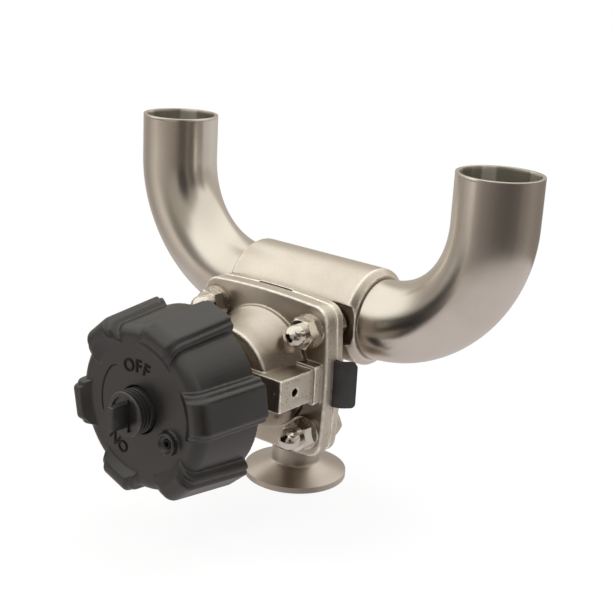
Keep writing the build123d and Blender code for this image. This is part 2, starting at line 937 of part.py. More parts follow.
def lock_screw():
    """Socket screw in the boss on the wheel's face."""
    front = wheel_face - screw_boss_rise + screw_recess
    body = rod(screw_radius, front, front + screw_length, (screw_x, screw_z))
    return body - hexagon_bar(screw_socket, front, front + screw_socket_depth, (screw_x, screw_z))


def indicator_cap():
    """Cap that rises with the spindle: three ribs round it and a blade across its face."""
    floor = cap_radius - cap_groove
    lead = (cap_groove_width - cap_groove_floor) / 2
    outline = [(0, cap_front), (cap_radius - cap_edge, cap_front), (cap_radius, cap_front + cap_edge)]
    for i in range(cap_groove_count):
        y = cap_front + cap_groove_start + i * cap_groove_pitch
        outline += [
            (cap_radius, y),
            (floor, y + lead),
            (floor, y + lead + cap_groove_floor),
            (cap_radius, y + cap_groove_width),
        ]
    outline += [(cap_radius, cap_back), (0, cap_back)]
    cap = turned(outline)
    dish = Circle(cap_radius - dish_margin)
    dish -= Rectangle(blade_thickness + 2 * dish_gap, 2 * cap_radius)
    cap -= slab(dish, cap_front, cap_front + dish_depth)
    blade_middle = cap_front + (bite - blade_reach) / 2
    blade = Pos(0, blade_middle, 0) * Box(blade_thickness, blade_reach + bite, blade_height)
    front_edges = blade.edges().group_by(Axis.Y)[0]
    cap += fillet(front_edges, blade_round)
    bore_front = cap_back - cap_bore_depth
    return cap - rod(spindle_stem_radius + thread_gap, bore_front, cap_back)


def left_elbow():
    return elbow(-1)


def right_elbow():
    return elbow(1)


pieces = [
    valve_body,
    left_elbow,
    right_elbow,
    outlet_ferrule,
    bonnet,
    diaphragm,
    diaphragm_stud,
    compressor,
    compressor_pin,
    spindle,
    spindle_o_ring,
    drive_nut,
    lower_thrust_washer,
    upper_thrust_washer,
    gland_ring,
    gland_o_ring,
    bush_o_ring,
    handwheel,
    handwheel_nut,
    lock_screw,
    indicator_cap,
    flange_bolts,
    flange_studs,
    stud_lock_nuts,
    flange_washers,
    acorn_nuts,
]

os.makedirs("parts", exist_ok=True)
home = Pos(0, -outlet_back, outlet_drop)
for piece in pieces:
    export_step(home * piece(), f"parts/{piece.__name__}.step")
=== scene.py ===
import bpy
import json
import math
import numpy as np
from mathutils import Matrix, Vector


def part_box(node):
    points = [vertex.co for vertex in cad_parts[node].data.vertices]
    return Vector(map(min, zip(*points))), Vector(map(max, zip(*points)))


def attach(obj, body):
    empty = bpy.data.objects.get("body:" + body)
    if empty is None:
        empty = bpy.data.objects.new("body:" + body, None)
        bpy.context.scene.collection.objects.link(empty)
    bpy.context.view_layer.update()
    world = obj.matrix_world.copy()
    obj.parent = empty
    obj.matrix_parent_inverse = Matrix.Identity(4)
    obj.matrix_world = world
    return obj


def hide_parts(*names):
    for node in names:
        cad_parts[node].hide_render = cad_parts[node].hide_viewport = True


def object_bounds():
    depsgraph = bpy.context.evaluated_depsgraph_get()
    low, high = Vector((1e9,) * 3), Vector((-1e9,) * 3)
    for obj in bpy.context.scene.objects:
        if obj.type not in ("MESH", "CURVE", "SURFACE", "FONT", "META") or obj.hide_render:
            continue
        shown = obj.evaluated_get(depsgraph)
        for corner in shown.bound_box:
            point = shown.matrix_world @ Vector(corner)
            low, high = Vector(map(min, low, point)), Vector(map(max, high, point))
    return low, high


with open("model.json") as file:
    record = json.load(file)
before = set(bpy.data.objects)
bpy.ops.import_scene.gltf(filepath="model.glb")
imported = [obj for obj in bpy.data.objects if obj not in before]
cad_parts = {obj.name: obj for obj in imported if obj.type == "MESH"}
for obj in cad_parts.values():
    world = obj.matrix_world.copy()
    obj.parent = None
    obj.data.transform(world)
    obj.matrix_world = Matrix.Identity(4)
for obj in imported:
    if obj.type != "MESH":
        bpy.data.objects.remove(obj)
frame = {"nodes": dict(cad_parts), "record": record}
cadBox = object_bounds()
nodes = frame["nodes"]
mm = 0.001

# the valve's own axis runs along Y, through the middle of the spindle
spindleLow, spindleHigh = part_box("spindle")
axisX = (spindleLow.x + spindleHigh.x) / 2
axisZ = (spindleLow.z + spindleHigh.z) / 2
print("frame loaded, valve axis at height", round(axisZ, 4))


def linked(name, data):
    piece = bpy.data.objects.new(name, data)
    bpy.context.scene.collection.objects.link(piece)
    return piece


def newMesh(name, points, faces):
    mesh = bpy.data.meshes.new(name)
    mesh.from_pydata([tuple(p) for p in points], [], faces)
    mesh.validate()
    mesh.update()
    return mesh


def evaluatedMesh(piece):
    return bpy.data.meshes.new_from_object(piece.evaluated_get(bpy.context.evaluated_depsgraph_get()))


def bakeModifiers(piece):
    mesh = evaluatedMesh(piece)
    piece.modifiers.clear()
    piece.data = mesh


def setMaterial(piece, material):
    piece.data.materials.clear()
    piece.data.materials.append(material)


# evenly rounded skin over a CAD piece: fine voxels, smoothed, then thinned out again;
# melt gives the vertices that are smoothed much further, sand a relief that only cuts inward
def softened(node, name, body, voxel, passes, keep, melt=None, meltPasses=0, sand=0.0, sandSize=1.0):
    piece = linked(name, nodes[node].data.copy())
    remesh = piece.modifiers.new("skin", "REMESH")
    remesh.mode = "VOXEL"
    remesh.voxel_size = voxel * mm
    bakeModifiers(piece)
    if melt is not None:
        group = piece.vertex_groups.new(name="melt")
        places = np.empty(len(piece.data.vertices) * 3)
        piece.data.vertices.foreach_get("co", places)
        chosen = melt(places.reshape(-1, 3) / mm)
        group.add([int(i) for i in np.nonzero(chosen)[0]], 1.0, "REPLACE")
        further = piece.modifiers.new("melt", "SMOOTH")
        further.factor = 0.5
        further.iterations = meltPasses
        further.vertex_group = "melt"
    smooth = piece.modifiers.new("soften", "SMOOTH")
    smooth.factor = 0.5
    smooth.iterations = passes
    if sand > 0:
        clouds = bpy.data.textures.new(name + "Sand", "CLOUDS")
        clouds.noise_scale = sandSize * mm
        clouds.noise_depth = 2
        relief = piece.modifiers.new("sand", "DISPLACE")
        relief.texture = clouds
        relief.texture_coords = "LOCAL"
        relief.mid_level = 1.0
        relief.strength = sand * mm
    thin = piece.modifiers.new("thin", "DECIMATE")
    thin.ratio = keep
    bakeModifiers(piece)
    piece.vertex_groups.clear()
    piece.data.shade_smooth()
    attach(piece, body)
    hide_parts(node)
    print("softened", node, len(piece.data.polygons), "faces")
    return piece


def addNode(tree, kind, **settings):
    node = tree.nodes.new(kind)
    for key, value in settings.items():
        setattr(node, key, value)
    return node


# a number or colour goes into the socket itself, anything else is linked to it
def feed(tree, value, socket):
    if isinstance(value, tuple):
        socket.default_value = (*value, 1.0)
    elif isinstance(value, (int, float)):
        socket.default_value = value
    else:
        tree.links.new(value, socket)


def mathNode(tree, operation, a, b=None):
    node = addNode(tree, "ShaderNodeMath", operation=operation)
    feed(tree, a, node.inputs[0])
    if b is not None:
        feed(tree, b, node.inputs[1])
    return node.outputs[0]


def times(tree, a, b):
    return mathNode(tree, "MULTIPLY", a, b)


def plus(tree, a, b):
    return mathNode(tree, "ADD", a, b)


def mapRange(tree, value, fromLow, fromHigh, toLow=0.0, toHigh=1.0):
    node = addNode(tree, "ShaderNodeMapRange", interpolation_type="SMOOTHSTEP")
    tree.links.new(value, node.inputs["Value"])
    limits = {"From Min": fromLow, "From Max": fromHigh, "To Min": toLow, "To Max": toHigh}
    for title, number in limits.items():
        feed(tree, number, node.inputs[title])
    return node.outputs["Result"]


def mixColour(tree, factor, a, b):
    node = addNode(tree, "ShaderNodeMix", data_type="RGBA", blend_type="MIX")
    for value, socket in ((factor, node.inputs[0]), (a, node.inputs[6]), (b, node.inputs[7])):
        feed(tree, value, socket)
    return node.outputs[2]


def mixShaders(tree, factor, first, second):
    node = addNode(tree, "ShaderNodeMixShader")
    for i, source in enumerate((factor, first, second)):
        tree.links.new(source, node.inputs[i])
    return node.outputs[0]


def noiseNode(tree, vector, scale, detail=3.0, rough=0.5):
    node = addNode(tree, "ShaderNodeTexNoise")
    tree.links.new(vector, node.inputs["Vector"])
    for title, value in (("Scale", scale), ("Detail", detail), ("Roughness", rough)):
        feed(tree, value, node.inputs[title])
    return node.outputs["Fac"]


def splitVector(tree, vector):
    node = addNode(tree, "ShaderNodeSeparateXYZ")
    tree.links.new(vector, node.inputs[0])
    return node.outputs


# a node group with a vector and numbers or colours for inputs
def newGroup(name, inputs, outputs):
    group = bpy.data.node_groups.new(name, "ShaderNodeTree")
    group.interface.new_socket(name="Vector", in_out="INPUT", socket_type="NodeSocketVector")
    for title, value in inputs.items():
        kind = "NodeSocketColor" if isinstance(value, tuple) else "NodeSocketFloat"
        socket = group.interface.new_socket(name=title, in_out="INPUT", socket_type=kind)
        socket.default_value = value
    for title, kind in outputs.items():
        group.interface.new_socket(name=title, in_out="OUTPUT", socket_type="NodeSocket" + kind)
    return group, group.nodes.new("NodeGroupInput").outputs, group.nodes.new("NodeGroupOutput").inputs


# sandy casting grain with sparse pits; Height is in metres
def makeGrainGroup():
    group, ins, outs = newGroup("castGrain", {
        "Grain Scale": 1500.0,
        "Grain Depth": 0.00004,
        "Swell Scale": 160.0,
        "Swell Depth": 0.0001,
        "Pit Scale": 420.0,
        "Pit Depth": 0.00012,
        "Pit Share": 0.18,
        "Pit From": 0.34,
        "Pit To": 0.12,
        "Pit Patches": 240.0,
        "Patch From": 0.78,
        "Patch Blend": 0.06,
    }, {"Height": "Float", "Pits": "Float"})
    grain = noiseNode(group, ins["Vector"], ins["Grain Scale"], 2.0, 0.6)
    swell = noiseNode(group, ins["Vector"], ins["Swell Scale"], 2.0, 0.5)
    cells = addNode(group, "ShaderNodeTexVoronoi", feature="F1")
    group.links.new(ins["Vector"], cells.inputs["Vector"])
    group.links.new(ins["Pit Scale"], cells.inputs["Scale"])
    chosen = noiseNode(group, ins["Vector"], ins["Pit Patches"], 1.0)
    threshold = mathNode(group, "SUBTRACT", ins["Patch From"], ins["Pit Share"])
    gate = mapRange(group, chosen, threshold, plus(group, threshold, ins["Patch Blend"]))
    pits = times(group, mapRange(group, cells.outputs["Distance"], ins["Pit From"], ins["Pit To"]), gate)
    height = times(group, grain, ins["Grain Depth"])
    height = plus(group, height, times(group, swell, ins["Swell Depth"]))
    height = mathNode(group, "SUBTRACT", height, times(group, pits, ins["Pit Depth"]))
    group.links.new(height, outs["Height"])
    group.links.new(pits, outs["Pits"])
    return group


# slow drift between two tones, with finer speckle
def makeToneGroup():
    group, ins, outs = newGroup("toneDrift", {
        "Colour A": (0.6, 0.55, 0.5, 1),
        "Colour B": (0.5, 0.45, 0.4, 1),
        "Scale": 22.0,
        "Drift From": 0.33,
        "Drift To": 0.67,
        "Speckle": 0.08,
        "Speckle Scale": 900.0,
    }, {"Colour": "Color", "Drift": "Float"})
    clouds = noiseNode(group, ins["Vector"], ins["Scale"], 3.0, 0.55)
    drift = mapRange(group, clouds, ins["Drift From"], ins["Drift To"])
    speckle = noiseNode(group, ins["Vector"], ins["Speckle Scale"], 2.0, 0.7)
    amount = times(group, mathNode(group, "SUBTRACT", speckle, 0.5), ins["Speckle"])
    gain = plus(group, times(group, amount, 2.0), 1.0)
    colour = mixColour(group, drift, ins["Colour A"], ins["Colour B"])
    scaled = addNode(group, "ShaderNodeVectorMath", operation="SCALE")
    group.links.new(colour, scaled.inputs[0])
    group.links.new(gain, scaled.inputs["Scale"])
    group.links.new(scaled.outputs[0], outs["Colour"])
    group.links.new(drift, outs["Drift"])
    return group


# lighter edges and darker corners from the surface's own curvature; on the castings the edges are wear with
# a painted highlight and the corners painted shade, on the plastic the edges are a painted highlight
def makeEdgeGroup():
    group, ins, outs = newGroup("edgeAndCreaseMasks", {
        "Edge From": 0.53,
        "Edge To": 0.60,
        "Corner From": 0.47,
        "Corner To": 0.40,
        "Break Up": 0.5,
        "Patch Scale": 380.0,
        "Patch From": 0.35,
        "Patch To": 0.62,
    }, {"Edge": "Float", "Corner": "Float"})
    pointiness = addNode(group, "ShaderNodeNewGeometry").outputs["Pointiness"]
    edge = mapRange(group, pointiness, ins["Edge From"], ins["Edge To"])
    corner = mapRange(group, pointiness, ins["Corner From"], ins["Corner To"])
    patch = noiseNode(group, ins["Vector"], ins["Patch Scale"], 3.0, 0.6)
    broken = mapRange(group, patch, ins["Patch From"], ins["Patch To"])
    whole = mathNode(group, "SUBTRACT", 1.0, ins["Break Up"])
    kept = plus(group, times(group, broken, ins["Break Up"]), whole)
    group.links.new(times(group, edge, kept), outs["Edge"])
    group.links.new(corner, outs["Corner"])
    return group


# fine lathe rings round the object's own Z axis; Rise is how closely they follow each other up a side
def makeRingGroup():
    group, ins, outs = newGroup("latheRings", {
        "Pitch": 0.0004,
        "Depth": 0.000006,
        "Rise": 0.6,
    }, {"Height": "Float", "Tone": "Float"})
    x, y, z = splitVector(group, ins["Vector"])
    radius = mathNode(group, "SQRT", plus(group, times(group, x, x), times(group, y, y)))
    turns = mathNode(group, "DIVIDE", plus(group, radius, times(group, z, ins["Rise"])), ins["Pitch"])
    bundle = addNode(group, "ShaderNodeCombineXYZ")
    group.links.new(turns, bundle.inputs[0])
    lines = noiseNode(group, bundle.outputs[0], 1.0, 2.0, 0.7)
    group.links.new(times(group, lines, ins["Depth"]), outs["Height"])
    group.links.new(lines, outs["Tone"])
    return group


grainGroup = makeGrainGroup()
toneGroup = makeToneGroup()
edgeGroup = makeEdgeGroup()
ringGroup = makeRingGroup()
print("shader groups made")


def useGroup(tree, group, vector, values):
    node = addNode(tree, "ShaderNodeGroup", node_tree=group)
    tree.links.new(vector, node.inputs["Vector"])
    for title, value in values.items():
        feed(tree, value, node.inputs[title])
    return node.outputs


def bareMaterial(name):
    material = bpy.data.materials.new(name)
    material.use_nodes = True
    material.node_tree.nodes.clear()
    return material, material.node_tree


def endMaterial(tree, surface):
    output = addNode(tree, "ShaderNodeOutputMaterial")
    tree.links.new(surface, output.inputs["Surface"])


# a Principled material whose colour drifts between the settings' pale and dusky tones
def newMaterial(name, s, metallic=0.0):
    material, tree = bareMaterial(name)
    shader = addNode(tree, "ShaderNodeBsdfPrincipled")
    shader.inputs["Metallic"].default_value = metallic
    endMaterial(tree, shader.outputs[0])
    vector = addNode(tree, "ShaderNodeTexCoord").outputs["Object"]
    tones = {"Colour A": s["pale"], "Colour B": s["dusky"], "Scale": s["scale"], "Speckle": s["speckle"]}
    tone = useGroup(tree, toneGroup, vector, tones)
    tree.links.new(tone["Colour"], shader.inputs["Base Color"])
    return material, tree, shader, vector, tone


def wornEdge(tree, vector, s):
    reach = {"Edge From": s["edgeFrom"], "Edge To": s["edgeTo"], "Break Up": s["breakUp"]}
    return useGroup(tree, edgeGroup, vector, reach)


def bumpInto(tree, shader, height):
    bump = addNode(tree, "ShaderNodeBump")
    bump.inputs["Strength"].default_value = 1.0
    bump.inputs["Distance"].default_value = 1.0
    tree.links.new(height, bump.inputs["Height"])
    tree.links.new(bump.outputs[0], shader.inputs["Normal"])


castSettings = {
    "scale": 26.0,
    "speckle": 0.10,
    # the rims' colour: wear with a painted highlight
    "wornHighlight": (0.97, 0.92, 0.82),
    # colour of the painted shade in hollows and corners
    "corner": (0.30, 0.24, 0.185),
    "pit": (0.05, 0.045, 0.04),
    "wearAndHighlight": 0.85,
    "edgeFrom": 0.503,
    "edgeTo": 0.535,
    "breakUp": 0.5,
    "rimScatter": 0.5,         # how much less the rims mirror where their wear and painted highlight lie
    # share of painted shade in the corners
    "creaseShadeShare": 0.5,
    "dirt": 0.9,               # painted shade where the casting is hemmed in
    "asCastFrom": 0.6,         # sideways part of the normal where the as cast skin begins
    "asCastTo": 0.95,
    "asCastRough": 0.12,
    "groundGrain": 0.22,       # share of the grain left on the other faces
    "grainDepth": 0.00009,
    "pitScale": 900.0,
    "pitShare": 0.29,
    "pitDark": 0.7,
    "driftRough": 0.07,
}
bodyCast = {
    "pale": (0.80, 0.745, 0.665),
    "dusky": (0.72, 0.66, 0.58),
    "rough": 0.32,
    "paintedShadeReach": 0.018,        # in metres
    "paintedShadeFrom": 0.75,
    "paintedShadeTo": 0.30,
}
# duller (rougher) than the body, and its tones the body's made a little darker
bonnetCast = {
    "pale": (0.744, 0.69285, 0.61845),
    "dusky": (0.6696, 0.6138, 0.5394),
    "rough": 0.36,
    "paintedShadeReach": 0.034,
    "paintedShadeFrom": 0.95,
    "paintedShadeTo": 0.38,
}


def makeCastSteel(name, variant):
    s = castSettings | variant
    material, tree, shader, vector, tone = newMaterial(name, s)
    edge = wornEdge(tree, vector, s)
    # the flange's sides and the block's end were left as cast: sandy, with pits
    sideways = splitVector(tree, addNode(tree, "ShaderNodeTexCoord").outputs["Normal"])[0]
    asCast = mapRange(tree, mathNode(tree, "ABSOLUTE", sideways), s["asCastFrom"], s["asCastTo"])
    sandy = {"Grain Depth": s["grainDepth"], "Pit Scale": s["pitScale"], "Pit Share": s["pitShare"]}
    grain = useGroup(tree, grainGroup, vector, sandy)
    pits = times(tree, grain["Pits"], asCast)
    # painted shade: ambient occlusion darkens the colour where the casting is hemmed in
    hollow = addNode(tree, "ShaderNodeAmbientOcclusion", samples=8)
    hollow.inputs["Distance"].default_value = s["paintedShadeReach"]
    dirt = mapRange(tree, hollow.outputs["AO"], s["paintedShadeFrom"], s["paintedShadeTo"], 0.0, s["dirt"])
    # wear with a painted highlight on the rims
    colour = mixColour(tree, times(tree, edge["Edge"], s["wearAndHighlight"]), tone["Colour"], s["wornHighlight"])
    colour = mixColour(tree, dirt, colour, s["corner"])
    # painted shade in the corners
    colour = mixColour(tree, times(tree, edge["Corner"], s["creaseShadeShare"]), colour, s["corner"])
    colour = mixColour(tree, times(tree, pits, s["pitDark"]), colour, s["pit"])
    tree.links.new(colour, shader.inputs["Base Color"])
    # the rims, worn and with a painted highlight, scatter the lamps' light; the rest mirrors the room
    metallic = mathNode(tree, "SUBTRACT", 1.0, times(tree, edge["Edge"], s["rimScatter"]))
    tree.links.new(metallic, shader.inputs["Metallic"])
    rough = plus(tree, times(tree, tone["Drift"], s["driftRough"]), s["rough"])
    rough = plus(tree, rough, times(tree, asCast, s["asCastRough"]))
    tree.links.new(rough, shader.inputs["Roughness"])
    share = mapRange(tree, asCast, 0.0, 1.0, s["groundGrain"], 1.0)
    bumpInto(tree, shader, times(tree, grain["Height"], share))
    return material


# streaks that run along a tube, over the UV map of the bends
def tubeStreaks(tree, stretch, scale):
    uv = addNode(tree, "ShaderNodeUVMap", uv_map="along")
    drawn = addNode(tree, "ShaderNodeMapping")
    drawn.inputs["Scale"].default_value = (1.0, stretch, 1.0)
    tree.links.new(uv.outputs[0], drawn.inputs["Vector"])
    return noiseNode(tree, drawn.outputs[0], scale, 3.0, 0.6), drawn.outputs[0]


tubeSettings = {
    "pale": (0.80, 0.755, 0.695),
    "dusky": (0.73, 0.68, 0.615),
    "scale": 18.0,
    "speckle": 0.03,
    "rough": 0.17,
    "driftRough": 0.07,
    "streakRough": 0.06,
    "stretch": 0.05,
    "streakScale": 1400.0,
    "streakDepth": 0.000006,
    "blastScale": 2600.0,
    "blastDepth": 0.000012,
}


def makeTubeSteel():
    s = tubeSettings
    material, tree, shader, vector, tone = newMaterial("tubeSteelFinish", s, 1.0)
    streaks = tubeStreaks(tree, s["stretch"], s["streakScale"])[0]
    blasted = noiseNode(tree, vector, s["blastScale"], 2.0, 0.6)
    rough = plus(tree, times(tree, tone["Drift"], s["driftRough"]), s["rough"])
    rough = plus(tree, rough, times(tree, streaks, s["streakRough"]))
    tree.links.new(rough, shader.inputs["Roughness"])
    height = plus(tree, times(tree, blasted, s["blastDepth"]), times(tree, streaks, s["streakDepth"]))
    bumpInto(tree, shader, height)
    return material


boreSettings = {
    "pale": (0.86, 0.83, 0.75),
    "dusky": (0.74, 0.71, 0.63),
    "scale": 60.0,
    "speckle": 0.04,
    # tone of the painted reflection bands
    "dark": (0.42, 0.395, 0.34),
    "bandScale": 75.0,
    "bandFrom": 0.47,
    "bandTo": 0.53,
    "smooth": 0.30,
    "rough": 0.42,
    "stretch": 0.04,
    "streakScale": 700.0,
    "streakFrom": 0.3,
    "streakTo": 0.7,
    "streakDepth": 0.000012,
}


# the bore, pickled and duller than the outside, with drawn streaks and dark bands along it that are a
# painted reflection
def makeTubeInside():
    s = boreSettings
    material, tree, shader, vector, tone = newMaterial("tubeInsideFinish", s, 0.9)
    streaks, drawn = tubeStreaks(tree, s["stretch"], s["streakScale"])
    bands = mapRange(tree, noiseNode(tree, drawn, s["bandScale"], 1.0, 0.5), s["bandFrom"], s["bandTo"])
    # painted reflection: dark bands along the bore
    tree.links.new(mixColour(tree, bands, s["dark"], tone["Colour"]), shader.inputs["Base Color"])
    rough = mapRange(tree, streaks, s["streakFrom"], s["streakTo"], s["smooth"], s["rough"])
    tree.links.new(rough, shader.inputs["Roughness"])
    bumpInto(tree, shader, times(tree, streaks, s["streakDepth"]))
    return material


turnedSettings = {
    "pale": (0.60, 0.55, 0.50),
    "dusky": (0.52, 0.47, 0.42),
    "scale": 40.0,
    "speckle": 0.03,
    "groove": (0.45, 0.40, 0.34),
    "grooveFrom": 0.3,
    "grooveTo": 0.75,
    "grooveShare": 0.25,
    "pitch": 0.00035,          # between the lathe rings, in metres
    "depth": 0.000016,
    "rough": 0.26,
    "grooveRough": 0.12,
}


def makeTurnedSteel():
    s = turnedSettings
    material, tree, shader, vector, tone = newMaterial("turnedSteelFinish", s, 1.0)
    rings = useGroup(tree, ringGroup, vector, {"Pitch": s["pitch"], "Depth": s["depth"]})
    grooves = mapRange(tree, rings["Tone"], s["grooveFrom"], s["grooveTo"], 0.0, s["grooveShare"])
    tree.links.new(mixColour(tree, grooves, tone["Colour"], s["groove"]), shader.inputs["Base Color"])
    rough = plus(tree, times(tree, rings["Tone"], s["grooveRough"]), s["rough"])
    tree.links.new(rough, shader.inputs["Roughness"])
    bumpInto(tree, shader, rings["Height"])
    return material


# metals without a pattern of their own; haze is the noise that dulls them, relief a fine bump
plainMetals = {
    "polishedSteel": {
        "pale": (0.80, 0.76, 0.71), "dusky": (0.74, 0.69, 0.63), "scale": 120.0, "speckle": 0.02,
        "hazeScale": 500.0, "hazeFrom": 0.35, "hazeTo": 0.75, "smooth": 0.07, "rough": 0.16,
        "reliefScale": 1800.0, "reliefDetail": 2.0, "reliefDepth": 0.0000015,
    },
    "boltSteel": {
        "pale": (0.70, 0.66, 0.60), "dusky": (0.58, 0.53, 0.47), "scale": 90.0, "speckle": 0.05,
        "hazeScale": 700.0, "hazeFrom": 0.3, "hazeTo": 0.75, "smooth": 0.2, "rough": 0.36,
        "reliefScale": 700.0, "reliefDetail": 3.0, "reliefDepth": 0.000006,
    },
    "bronze": {
        "pale": (0.62, 0.42, 0.19), "dusky": (0.50, 0.33, 0.15), "scale": 80.0, "speckle": 0.05,
        "hazeScale": 600.0, "hazeFrom": 0.3, "hazeTo": 0.75, "smooth": 0.28, "rough": 0.42,
        "reliefScale": 600.0, "reliefDetail": 3.0, "reliefDepth": 0.0,
    },
}


def makePlainMetal(name):
    s = plainMetals[name]
    material, tree, shader, vector, tone = newMaterial(name + "Finish", s, 1.0)
    haze = noiseNode(tree, vector, s["hazeScale"], 3.0, 0.6)
    rough = mapRange(tree, haze, s["hazeFrom"], s["hazeTo"], s["smooth"], s["rough"])
    tree.links.new(rough, shader.inputs["Roughness"])
    if s["reliefDepth"] > 0:
        relief = noiseNode(tree, vector, s["reliefScale"], s["reliefDetail"], 0.6)
        bumpInto(tree, shader, times(tree, relief, s["reliefDepth"]))
    return material


plasticSettings = {
    "pale": (0.0062, 0.0057, 0.0058),
    "dusky": (0.0115, 0.0106, 0.0106),
    "scale": 30.0,
    "speckle": 0.12,
    # colour of the painted highlight along the edges
    "edge": (0.06, 0.056, 0.051),
    "edgeShare": 0.5,
    "edgeFrom": 0.53,
    "edgeTo": 0.62,
    "breakUp": 0.6,
    "gloss": 0.85,
    "rough": 0.27,
    "driftRough": 0.08,
    "leatherRough": 0.08,
    "leatherScale": 1900.0,
    "leatherDepth": 0.000022,
}


def makeBlackPlastic():
    s = plasticSettings
    material, tree, shader, vector, tone = newMaterial("blackPlasticFinish", s)
    edge = wornEdge(tree, vector, s)
    # painted highlight along the edges
    colour = mixColour(tree, times(tree, edge["Edge"], s["edgeShare"]), tone["Colour"], s["edge"])
    tree.links.new(colour, shader.inputs["Base Color"])
    shader.inputs["Specular IOR Level"].default_value = s["gloss"]
    leather = noiseNode(tree, vector, s["leatherScale"], 2.0, 0.6)
    rough = plus(tree, times(tree, tone["Drift"], s["driftRough"]), s["rough"])
    rough = plus(tree, rough, times(tree, leather, s["leatherRough"]))
    tree.links.new(rough, shader.inputs["Roughness"])
    bumpInto(tree, shader, times(tree, leather, s["leatherDepth"]))
    return material


markPlasticSettings = {
    # darker than the black plastic: painted shade on the strokes, and the screw's own black
    "pale": (0.0045, 0.0045, 0.0045),
    "dusky": (0.008, 0.0075, 0.0075),
    "scale": 200.0,
    "speckle": 0.1,
    "gloss": 0.25,
    "grainScale": 1500.0,
    "grainFrom": 0.3,
    "grainTo": 0.7,
    "smooth": 0.5,
    "rough": 0.62,
}


# the strokes on the wheel's face, darker than the rest: painted shade, so the raised strokes read as
# engraved
def makeMarkPlastic():
    s = markPlasticSettings
    material, tree, shader, vector, tone = newMaterial("markPlasticFinish", s)
    grain = noiseNode(tree, vector, s["grainScale"], 2.0)
    rough = mapRange(tree, grain, s["grainFrom"], s["grainTo"], s["smooth"], s["rough"])
    tree.links.new(rough, shader.inputs["Roughness"])
    shader.inputs["Specular IOR Level"].default_value = s["gloss"]
    return material


rubberSettings = {
    "pale": (0.020, 0.018, 0.019),
    "dusky": (0.034, 0.031, 0.031),
    "scale": 60.0,
    "speckle": 0.2,
    "rough": 0.62,
    "weaveScale": 420.0,
    "weaveWander": 1.5,
    "weaveDepth": 0.00002,
}


def makeRubber():
    s = rubberSettings
    material, tree, shader, vector, tone = newMaterial("rubberFinish", s)
    shader.inputs["Roughness"].default_value = s["rough"]
    weave = addNode(tree, "ShaderNodeTexWave", bands_direction="X")
    tree.links.new(vector, weave.inputs["Vector"])
    weave.inputs["Scale"].default_value = s["weaveScale"]
    weave.inputs["Distortion"].default_value = s["weaveWander"]
    bumpInto(tree, shader, times(tree, weave.outputs["Fac"], s["weaveDepth"]))
    return material


bonnetSteel = makeCastSteel("bonnetSteelFinish", bonnetCast)
tubeInside = makeTubeInside()
markPlastic = makeMarkPlastic()
finishes = {
    "cast_steel": makeCastSteel("castSteelFinish", bodyCast),
    "tube_steel": makeTubeSteel(),
    "turned_steel": makeTurnedSteel(),
    "polished_steel": makePlainMetal("polishedSteel"),
    "bolt_steel": makePlainMetal("boltSteel"),
    "black_plastic": makeBlackPlastic(),
    "rubber": makeRubber(),
    "bronze": makePlainMetal("bronze"),
}
for part in frame["record"]["subparts"]:
    setMaterial(nodes[part["node"]], finishes[part["material_slot"]])
setMaterial(nodes["lock_screw"], markPlastic)      # a blackened screw
print("materials made:", len(finishes))

castingSettings = {
    "bonnetVoxel": 0.42,       # all in mm
    "bodyVoxel": 0.5,
    "passes": 3,
    "keep": 0.5,               # share of the faces kept when the skin is thinned out
    "sand": 0.07,              # depth of the cast surface's relief
    "sandSize": 0.9,
    "bellPasses": 22,
    "bellFront": -20.5,        # between these depths the bell's scoops run into it softly
    "bellBack": -5.0,
    "bellInner": 16.0,
    "bellOuter": 31.0,
    "blockClear": 10.5,        # this far above and below the axis the block on the right keeps its edges
}


# the bell's side, where its scoops blend in; depths from the front of the bonnet's flange
def bellSide(places):
    s = castingSettings
    across, up = places[:, 0] - axisX / mm, places[:, 2] - axisZ / mm
    depth = places[:, 1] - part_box("flange_washers")[1].y / mm
    reach = np.hypot(across, up)
    clear = (np.abs(up) > s["blockClear"]) | (across < 0)
    deep = (depth > s["bellFront"]) & (depth < s["bellBack"])
    return deep & (reach > s["bellInner"]) & (reach < s["bellOuter"]) & clear


def makeCastings():
    s = castingSettings
    common = {"passes": s["passes"], "keep": s["keep"], "sand": s["sand"], "sandSize": s["sandSize"]}
    bonnet = softened("bonnet", "bonnetCasting", "valve", s["bonnetVoxel"], melt=bellSide,
                      meltPasses=s["bellPasses"], **common)
    body = softened("valve_body", "bodyCasting", "valve", s["bodyVoxel"], **common)
    for skin, material in ((bonnet, bonnetSteel), (body, finishes["cast_steel"])):
        setMaterial(skin, material)


makeCastings()
print("castings made")

wheelSettings = {
    "voxel": 0.42,             # in mm
    "passes": 7,
    "keep": 0.5,
    "lugsProud": 3.1,          # how far the lugs stand in front of the face, in mm
}
wheelSkin = softened("handwheel", "wheelMoulding", "wheel", wheelSettings["voxel"], wheelSettings["passes"],
                     wheelSettings["keep"])
setMaterial(wheelSkin, finishes["black_plastic"])
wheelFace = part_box("handwheel")[0].y + wheelSettings["lugsProud"] * mm

